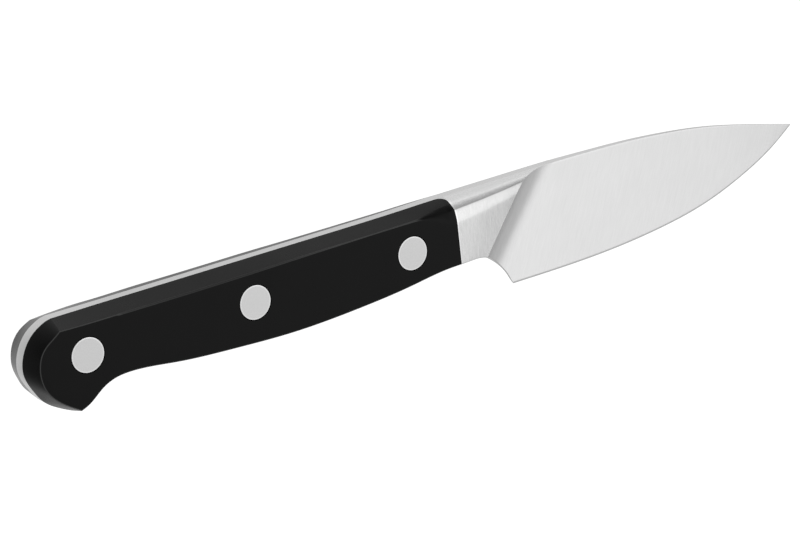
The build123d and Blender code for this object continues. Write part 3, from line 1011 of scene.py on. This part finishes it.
def make_piece(name, sheets, materials, node, slot, both_sides=False, far=False, highlight_corners=True):
    """Mesh object from grids: mirrored to the far side where asked, its doubles merged, its faces
    turned outwards, smooth but for sharp edges, riding on the root body in place of its CAD
    node."""
    points, faces, finish = sheet_mesh(sheets)
    mirrored = points * [1, 1, -1]
    if both_sides:
        faces = np.concatenate([faces, faces[:, ::-1] + len(points)])
        points = np.concatenate([points, mirrored])
        finish = np.concatenate([finish, finish])
    if far:
        points, faces = mirrored, faces[:, ::-1]
    mesh = bpy.data.meshes.new(name)
    mesh.from_pydata(laid_down(points), [], faces)
    mesh.polygons.foreach_set("material_index", finish.astype(np.int32))
    for material in materials:
        mesh.materials.append(material)
    work = bmesh.new()
    work.from_mesh(mesh)
    bmesh.ops.remove_doubles(work, verts=work.verts, dist=MERGE_WITHIN)
    bmesh.ops.dissolve_degenerate(work, edges=work.edges, dist=DISSOLVE_WITHIN)
    bmesh.ops.recalc_face_normals(work, faces=work.faces)
    loose = [v for v in work.verts if not v.link_faces]
    bmesh.ops.delete(work, geom=loose, context="VERTS")
    work.to_mesh(mesh)
    work.free()
    mesh.polygons.foreach_set("use_smooth", np.ones(len(mesh.polygons), bool))
    mesh.set_sharp_from_angle(angle=SHARP_FROM)
    mesh.update()
    # Mask of the painted highlight on convex edges.
    mark_edge_highlight(mesh, highlight_corners)
    piece = bpy.data.objects.new(name, mesh)
    bpy.context.scene.collection.objects.link(piece)
    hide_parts(node)
    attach(piece, "root" if "root" in frame["bodies"] else sorted(frame["bodies"])[0])
    return piece


# ---------------------------------------------------------------- materials


def wire(tree, value, socket):
    """Links an output to a socket, or sets a plain value on it."""
    if isinstance(value, bpy.types.NodeSocket):
        tree.links.new(value, socket)
    else:
        socket.default_value = value


def add_node(tree, kind, inputs=None, **values):
    """Shader node with the given settings, and outputs or values on its inputs."""
    made = tree.nodes.new("ShaderNode" + kind)
    for key, value in values.items():
        setattr(made, key, value)
    for key, value in (inputs or {}).items():
        wire(tree, value, made.inputs[key])
    return made


def maths(tree, operation, *values, clamp=False):
    """Output of a math node on the given outputs or numbers."""
    inputs = dict(enumerate(values))
    return add_node(tree, "Math", inputs, operation=operation, use_clamp=clamp).outputs[0]


def scaled(tree, vector, factor):
    """Output of a vector or colour times a number."""
    inputs = {0: vector, "Scale": factor}
    return add_node(tree, "VectorMath", inputs, operation="SCALE").outputs[0]


def noise(tree, vector, scale, detail, roughness=0.5):
    """Output of a cloudy noise in space."""
    inputs = {"Vector": vector, "Scale": scale, "Detail": detail, "Roughness": roughness}
    return add_node(tree, "TexNoise", inputs).outputs[0]


def ramp(tree, value, span, low, high, kind="SMOOTHSTEP"):
    """Output that goes from low to high as the value crosses the span."""
    inputs = {0: value, 1: span[0], 2: span[1], 3: low, 4: high}
    return add_node(tree, "MapRange", inputs, interpolation_type=kind).outputs[0]


def relief(tree, shader, height, rise):
    """Bump of that rise, in millimetres, on the shader."""
    inputs = {"Strength": 1.0, "Distance": rise * MM, "Height": height}
    wire(tree, add_node(tree, "Bump", inputs).outputs[0], shader.inputs["Normal"])


def group_with(name, inputs, outputs):
    """Empty shader node group with named sockets. Returns the tree, its outputs by name and the
    inputs of its end."""
    tree = bpy.data.node_groups.new(name, "ShaderNodeTree")
    for label, kind, value in inputs:
        socket = tree.interface.new_socket(label, in_out="INPUT", socket_type="NodeSocket" + kind)
        if value is not None:
            socket.default_value = value
    for label, kind in outputs:
        tree.interface.new_socket(label, in_out="OUTPUT", socket_type="NodeSocket" + kind)
    return tree, tree.nodes.new("NodeGroupInput").outputs, tree.nodes.new("NodeGroupOutput").inputs


def brushed_group():
    """Fine parallel lines of a ground or brushed metal: noise stretched along the local X, in two
    sizes, with slow cloudy variation. Puts out colour, roughness and height."""
    tree, given, out = group_with(
        "brushed_lines",
        [
            ("Vector", "Vector", None),
            ("Colour", "Color", (0.6, 0.6, 0.6, 1)),
            ("Line Spacing", "Float", 0.25),
            ("Line Length", "Float", 6.0),
            ("Contrast", "Float", 0.06),
            ("Roughness", "Float", 0.35),
            ("Roughness Spread", "Float", 0.06),
            ("Cloud", "Float", 0.03),
        ],
        [("Colour", "Color"), ("Roughness", "Float"), ("Height", "Float")],
    )
    place = scaled(tree, given["Vector"], 1 / MM)
    x, y, z = add_node(tree, "SeparateXYZ", {0: place}).outputs
    lines = []
    for size, detail in LINE_NOISES:
        spacing = maths(tree, "MULTIPLY", given["Line Spacing"], size)
        parts = ((x, given["Line Length"]), (y, spacing), (z, spacing))
        stretched = dict(enumerate(maths(tree, "DIVIDE", *part) for part in parts))
        stretched = add_node(tree, "CombineXYZ", stretched).outputs[0]
        lines.append(noise(tree, stretched, 1.0, detail, LINE_ROUGHNESS))
    line = maths(tree, "SUBTRACT", maths(tree, "ADD", *lines), 1.0)
    cloud = maths(tree, "SUBTRACT", noise(tree, place, *STEEL_CLOUD), 0.5)
    line_tone = maths(tree, "MULTIPLY", line, given["Contrast"])
    cloud_tone = maths(tree, "MULTIPLY", cloud, given["Cloud"])
    tone = maths(tree, "ADD", maths(tree, "ADD", line_tone, cloud_tone), 1.0)
    spread = maths(tree, "MULTIPLY", line, given["Roughness Spread"])
    rough = maths(tree, "ADD", spread, given["Roughness"], clamp=True)
    wire(tree, scaled(tree, given["Colour"], tone), out["Colour"])
    wire(tree, rough, out["Roughness"])
    wire(tree, line, out["Height"])
    return tree


def edge_highlight_group():
    """Blends a finish into a painted highlight on convex edges, by the vertex attribute that masks
    it. Puts out colour and roughness."""
    tree, given, out = group_with(
        "worn_edges",
        [
            ("Colour", "Color", (0.6, 0.6, 0.6, 1)),
            ("Worn Colour", "Color", (0.8, 0.8, 0.8, 1)),
            ("Roughness", "Float", 0.35),
            ("Worn Roughness", "Float", 0.3),
            ("Amount", "Float", 1.0),
        ],
        [("Colour", "Color"), ("Roughness", "Float")],
    )
    highlight = add_node(tree, "Attribute", attribute_name="worn_edge", attribute_type="GEOMETRY")
    share = maths(tree, "MULTIPLY", highlight.outputs["Fac"], given["Amount"], clamp=True)
    for kind, (first, last, mixed), label in (
        ("RGBA", (6, 7, 2), "Colour"),
        ("FLOAT", (2, 3, 0), "Roughness"),
    ):
        inputs = {0: share, first: given[label], last: given["Worn " + label]}
        blend = add_node(tree, "Mix", inputs, data_type=kind)
        wire(tree, blend.outputs[mixed], out[label])
    return tree


def with_edge_highlight(tree, shader, colour, roughness, worn_colour, worn_roughness, amount):
    """Sends a colour and a roughness to the shader by way of the group that blends in the painted
    edge highlight.
    """
    inputs = {
        "Colour": colour,
        "Roughness": roughness,
        "Worn Colour": (*worn_colour, 1),
        "Worn Roughness": worn_roughness,
        "Amount": amount,
    }
    group = bpy.data.node_groups.get("worn_edges") or edge_highlight_group()
    highlight = add_node(tree, "Group", inputs, node_tree=group)
    wire(tree, highlight.outputs["Colour"], shader.inputs["Base Color"])
    wire(tree, highlight.outputs["Roughness"], shader.inputs["Roughness"])


def new_material(name):
    """Material with a plain shader. Returns it, its tree, the shader and the object's
    coordinates."""
    material = bpy.data.materials.new(name)
    material.use_nodes = True
    tree = material.node_tree
    place = add_node(tree, "TexCoord").outputs["Object"]
    return material, tree, tree.nodes["Principled BSDF"], place


def brushed_steel(look, name, parts):
    """Steel with the listed finish: lines that run at an angle to the knife's length, seen from
    the side."""
    finish = dict(zip(FINISH_PARTS, parts))
    colour, turn = getattr(look, finish.pop("colour")), -math.radians(finish.pop("angle"))
    rise, wear = finish.pop("relief"), finish.pop("wear")
    material, tree, shader, place = new_material(name)
    inputs = {"Vector": place, "Rotation": (0, 0, turn)}
    turned = add_node(tree, "Mapping", inputs, vector_type="POINT").outputs[0]
    group = bpy.data.node_groups.get("brushed_lines") or brushed_group()
    inputs = {"Vector": turned, "Colour": (*colour, 1), **finish}
    lines = add_node(tree, "Group", inputs, node_tree=group).outputs
    # The steel's convex edges get a painted highlight, paler than the steel.
    worn_colour = [min(HIGHLIGHT_GAIN * c, HIGHLIGHT_LIMIT) for c in colour]
    rough = finish["Roughness"]
    with_edge_highlight(tree, shader, lines["Colour"], lines["Roughness"], worn_colour, rough, wear)
    relief(tree, shader, lines["Height"], rise)
    shader.inputs["Metallic"].default_value = 1.0
    return material


def black_plastic(look, name, depth, sheen):
    """Smooth moulded black with a faint grain, slight cloudy sheen and a painted highlight on its
    convex edges. depth scales its colour, sheen is its specular level and sets the share of that
    highlight."""
    material, tree, shader, place = new_material(name)
    place, rough = scaled(tree, place, 1 / MM), look.black_roughness
    grain, cloud = noise(tree, place, *BLACK_GRAIN), noise(tree, place, *BLACK_CLOUD)
    cloudy = ramp(tree, cloud, CLOUD_SPAN, rough - CLOUD_SPREAD, rough + CLOUD_SPREAD, "LINEAR")
    dark, pale = ((*(share * depth * c for c in look.black), 1) for share in BLACK_TONES)
    tone = add_node(tree, "Mix", {0: grain, 6: dark, 7: pale}, data_type="RGBA").outputs[2]
    # The scale's convex edges get a paler colour: a painted highlight.
    with_edge_highlight(tree, shader, tone, cloudy, look.black_edge_highlight, rough, min(1.0, SHEEN_HIGHLIGHT * sheen))
    relief(tree, shader, grain, GRAIN_RISE)
    shader.inputs["Specular IOR Level"].default_value = sheen
    return material


def painted_floor_levels(tree):
    """Strength of the floor in reflections, by its place, with painted shade and light: a painted
    dark patch past the butt, a painted shadow beside the handle and under the knife, and painted
    light behind it. Returns the shaded level and the brighter one."""
    place = add_node(tree, "TexCoord").outputs["Object"]
    x, y, _ = add_node(tree, "SeparateXYZ", {0: place}).outputs
    slanted = maths(tree, "MULTIPLY_ADD", maths(tree, "ABSOLUTE", y), -BUTT_SLANT, x)
    beside = ramp(tree, y, BESIDE_FADE, ramp(tree, x, *BESIDE), 1.0)
    under = ramp(tree, y, UNDER_FADE, ramp(tree, x, *UNDER), 1.0)
    shade = maths(tree, "MULTIPLY", beside, under)
    near = maths(tree, "MULTIPLY", ramp(tree, slanted, *PAST_BUTT), shade)
    return near, ramp(tree, y, *BEHIND)


# ---------------------------------------------------------------- settings


def length(name, description, millimetres):
    """Length property with its default in millimetres."""
    return FloatProperty(
        name=name, description=description, default=millimetres * MM, unit="LENGTH", precision=5
    )


def grey(name, description, level):
    """Colour property with a grey default."""
    return FloatVectorProperty(
        name=name, description=description, default=(level,) * 3, subtype="COLOR", min=0, max=1
    )


def amount(name, description, default, **more):
    """Property of a number that isn't negative."""
    return FloatProperty(name=name, description=description, default=default, min=0, **more)


class KnifeHandleSizes(PropertyGroup):
    tang_half: length("Tang half thickness", "Half the thickness of the tang", 1.15)
    crease_radius: length("Crease radius", "Rounding between top facet and side face", 0.185)
    belly_radius: length("Belly radius", "Rounding of the side face's lower edge", 0.25)


class KnifeBladeSizes(PropertyGroup):
    bevel: length("Bevel height", "Height of the cutting bevel", 0.42)
    thin: length("Bevel half thickness", "Half thickness of the blade above the bevel", 0.2)
    hollow: length("Hollow rise", "Height to which the hollow rises 9 mm behind its foot", 3.66)
    ease: length("Underside rounding", "Rounding along the underside of bolster and choil", 0.25)


class KnifeRivetSizes(PropertyGroup):
    radius: length("Head radius", "Radius of a rivet's head", 3.6)
    height: length("Head height", "Depth of a head below the side face", 2.0)
    rim: length("Rim width", "Width of the turned rim of a head", 0.26)
    gap: length("Gap", "Clearance between head and scale", 0.2)


class KnifeLook(PropertyGroup):
    steel: grey("Blade steel", "Colour of the ground blade", 0.68)
    # The bolster's and the spine's colours are darker than the blade's, though all are one steel:
    # painted shade.
    bolster: grey("Bolster steel", "Colour of the satin bolster", 0.565)
    spine: grey("Spine steel", "Colour of spine and tang edge", 0.505)
    edge: grey("Bevel steel", "Colour of the cutting bevel", 0.68)
    rivet: grey("Rivet steel", "Colour of the rivets", 0.5)
    # The turned rim is paler than the head: a painted highlight.
    rim: grey("Rivet rim", "Colour of the turned rims of the rivet heads", 0.6)
    black: grey("Scale black", "Colour of the moulded scales", 0.0012)
    # Paler black on the scales' convex edges: a painted highlight.
    black_edge_highlight: grey("Black edge highlight", "Colour of the painted highlight on the scales' edges", 0.06)
    black_roughness: amount(
        "Scale roughness", "Roughness of the moulded scales", 0.3, max=1, subtype="FACTOR"
    )


class KnifeStudio(PropertyGroup):
    floor: grey("Floor", "Colour of the floor", 0.9)
    glow: amount("Floor glow", "Strength of the floor in the camera and in reflections", 1.2)
    surround: amount("Surround", "Strength of the light from all round", 0.56)
    slope: amount("Surround slope", "How much stronger the surround is beside the blade", 0.04)
    softbox: amount("Softbox", "Power of the softbox over the blade", 1.36, unit="POWER")
    strip: amount("Strip softbox", "Power of the narrow softbox above it", 0.29, unit="POWER")
    lens: amount("Lens", "Focal length of the camera", 133.245, subtype="DISTANCE_CAMERA")


def in_mm(group):
    """The lengths of a group of settings, in millimetres."""
    return {name: getattr(group, name) / MM for name in group.__annotations__}


def put(thing, right, up, back, place):
    """Places an object with its local axes along right, up and back."""
    rows = np.column_stack([right, up, back, place]).tolist()
    thing.matrix_world = Matrix([*rows, [0, 0, 0, 1]])


class KNIFE_OT_forging(Operator):
    """Build the blade, bolster and tang as one forging"""

    bl_idname = "knife.forging"
    bl_label = "Forging"

    def execute(self, context):
        scene = context.scene
        steels = [brushed_steel(scene.knife_look, *steel) for steel in FORGING_STEELS.items()]
        made = build_forging(in_mm(scene.knife_handle), in_mm(scene.knife_blade))
        sheets = [(STEEL_OF[kind], grid) for kind, grids in made.items() for grid in grids]
        make_piece("knife_forging", sheets, steels, "blade_forging", "steel", both_sides=True)
        return {"FINISHED"}


class KNIFE_OT_scales(Operator):
    """Build the two black scales"""

    bl_idname = "knife.scales"
    bl_label = "Scales"

    def execute(self, context):
        scene = context.scene
        black = black_plastic(scene.knife_look, "scale_black_plastic", depth=1.0, sheen=0.1)
        # A darker copy of the black with no sheen, for the hole walls: painted shade in the holes
        # and the gap round the heads.
        bore = black_plastic(scene.knife_look, "bore_black_plastic", depth=0.3, sheen=0.0)
        handle, rivet = in_mm(scene.knife_handle), {**in_mm(scene.knife_rivet), **RIVET_FITS}
        for side, trim in (("near", NEAR_TRIM), ("far", FAR_TRIM)):
            sheets = build_scale(handle, rivet, trim)
            name, node, far = side + "_handle_scale", side + "_scale", side == "far"
            # Only the scales' rounded edges, not their sharp corners, get the painted highlight.
            kept = {"far": far, "highlight_corners": False}
            make_piece(name, sheets, [black, bore], node, "scale_black", **kept)
        return {"FINISHED"}


class KNIFE_OT_rivets(Operator):
    """Build the headed pins and tubes of the three rivets"""

    bl_idname = "knife.rivets"
    bl_label = "Rivets"

    def execute(self, context):
        scene = context.scene
        rivet = {**in_mm(scene.knife_rivet), **RIVET_FITS}
        steels = [brushed_steel(scene.knife_look, *steel) for steel in RIVET_STEELS.items()]
        for place, middle in RIVETS.items():
            for kind in ("pin", "tube"):
                name, node = f"{place}_headed_{kind}", f"{place}_rivet_{kind}"
                sheets = build_rivet(rivet, middle, kind)
                make_piece(name, sheets, steels, node, "rivet_steel", far=kind == "tube")
        return {"FINISHED"}


class KNIFE_OT_stage(Operator):
    """Set up the floor, the light and the camera"""

    bl_idname = "knife.stage"
    bl_label = "Stage"

    def execute(self, context):
        scene = context.scene
        scene.view_settings.view_transform = "Standard"
        self.floor(scene, scene.knife_studio)
        self.light(scene, scene.knife_studio)
        self.camera(scene, scene.knife_studio)
        return {"FINISHED"}

    def floor(self, scene, studio):
        """Plain square floor under the knife. The camera sees it as white, less the knife's shadow;
        in reflections its glow has painted shade near the knife and painted light behind it."""
        mesh = bpy.data.meshes.new("floor")
        corners = np.array([(-1, -1, 0), (1, -1, 0), (1, 1, 0), (-1, 1, 0)]) * FLOOR_HALF
        mesh.from_pydata(corners - [0, 0, FLOOR_GAP], [], [(0, 1, 2, 3)])
        floor = bpy.data.objects.new("floor", mesh)
        scene.collection.objects.link(floor)
        material = bpy.data.materials.new("floor_white")
        material.use_nodes = True
        tree = material.node_tree
        tree.nodes.clear()
        rays = add_node(tree, "LightPath").outputs
        seen = rays["Is Camera Ray"]
        for kind in ("Is Glossy Ray", "Is Transmission Ray"):
            seen = maths(tree, "MAXIMUM", seen, rays[kind])
        # Painted shade near the knife and painted light behind it, in the glow that reflections
        # see.
        level, far = painted_floor_levels(tree)
        level = maths(tree, "MAXIMUM", level, rays["Is Camera Ray"])
        strength = maths(tree, "MULTIPLY", maths(tree, "MULTIPLY", level, far), studio.glow)
        matt = add_node(tree, "BsdfDiffuse", {"Color": (*studio.floor, 1)}).outputs[0]
        glow = add_node(tree, "Emission", {"Strength": strength}).outputs[0]
        share = maths(tree, "MULTIPLY", seen, GLOW_SHARE)
        mix = add_node(tree, "MixShader", {0: share, 1: matt, 2: glow}).outputs[0]
        add_node(tree, "OutputMaterial", {"Surface": mix})
        floor.data.materials.append(material)

    def light(self, scene, studio):
        """Even surround, a little stronger on the blade's side, and two softboxes above it."""
        world = bpy.data.worlds.new("studio")
        scene.world = world
        world.use_nodes = True
        tree = world.node_tree
        background = tree.nodes["Background"].inputs
        background["Color"].default_value = (1, 1, 1, 1)
        inputs = {0: add_node(tree, "TexCoord").outputs["Generated"], 1: BLADE_SIDE}
        along = add_node(tree, "VectorMath", inputs, operation="DOT_PRODUCT").outputs["Value"]
        level = maths(tree, "MULTIPLY_ADD", along, studio.slope, studio.surround)
        wire(tree, level, background["Strength"])
        for name, (power, width, depth, away) in SOFTBOXES.items():
            lamp = bpy.data.lights.new(name, "AREA")
            lamp.shape = "RECTANGLE"
            lamp.size, lamp.size_y = width, depth
            lamp.energy = getattr(studio, power)
            box = bpy.data.objects.new(name, lamp)
            scene.collection.objects.link(box)
            back = unit(np.array(away))
            right = unit(np.cross([0, 1, 0], back))
            put(box, right, np.cross(back, right), back, LAMPS_AIM + LAMPS_AWAY * back)

    def camera(self, scene, studio):
        """The photograph's viewpoint, found from the three rivet heads."""
        data = bpy.data.cameras.new("camera")
        data.lens, data.sensor_width = studio.lens, CAMERA_SENSOR
        data.clip_start, data.clip_end = CAMERA_CLIP
        camera = bpy.data.objects.new("camera", data)
        scene.collection.objects.link(camera)
        put(camera, CAMERA_RIGHT, CAMERA_UP, CAMERA_BACK, CAMERA_PLACE)
        scene.camera = camera


class KNIFE_PT_panel(Panel):
    """Settings and operators in the sidebar"""

    bl_label = "Paring knife"
    bl_space_type = "VIEW_3D"
    bl_region_type = "UI"
    bl_category = "Paring knife"

    def draw(self, context):
        for scene_name in GROUPS:
            group = getattr(context.scene, scene_name)
            box = self.layout.box()
            for name in group.__annotations__:
                box.prop(group, name)
        for operator in OPERATORS:
            self.layout.operator(operator.bl_idname)


GROUPS = {
    "knife_handle": KnifeHandleSizes,
    "knife_blade": KnifeBladeSizes,
    "knife_rivet": KnifeRivetSizes,
    "knife_look": KnifeLook,
    "knife_studio": KnifeStudio,
}
OPERATORS = (KNIFE_OT_forging, KNIFE_OT_scales, KNIFE_OT_rivets, KNIFE_OT_stage)


def register():
    """Adds the settings, the operators and the panel."""
    for made in (*GROUPS.values(), *OPERATORS, KNIFE_PT_panel):
        bpy.utils.register_class(made)
    for name, group in GROUPS.items():
        setattr(bpy.types.Scene, name, PointerProperty(type=group))


def unregister():
    """Removes them again."""
    for name in GROUPS:
        delattr(bpy.types.Scene, name)
    for made in (KNIFE_PT_panel, *reversed(OPERATORS), *reversed(GROUPS.values())):
        bpy.utils.unregister_class(made)


def main():
    """Builds every piece and the stage."""
    register()
    bpy.ops.knife.forging()
    bpy.ops.knife.scales()
    bpy.ops.knife.rivets()
    bpy.ops.knife.stage()


if __name__ == "__main__":
    main()
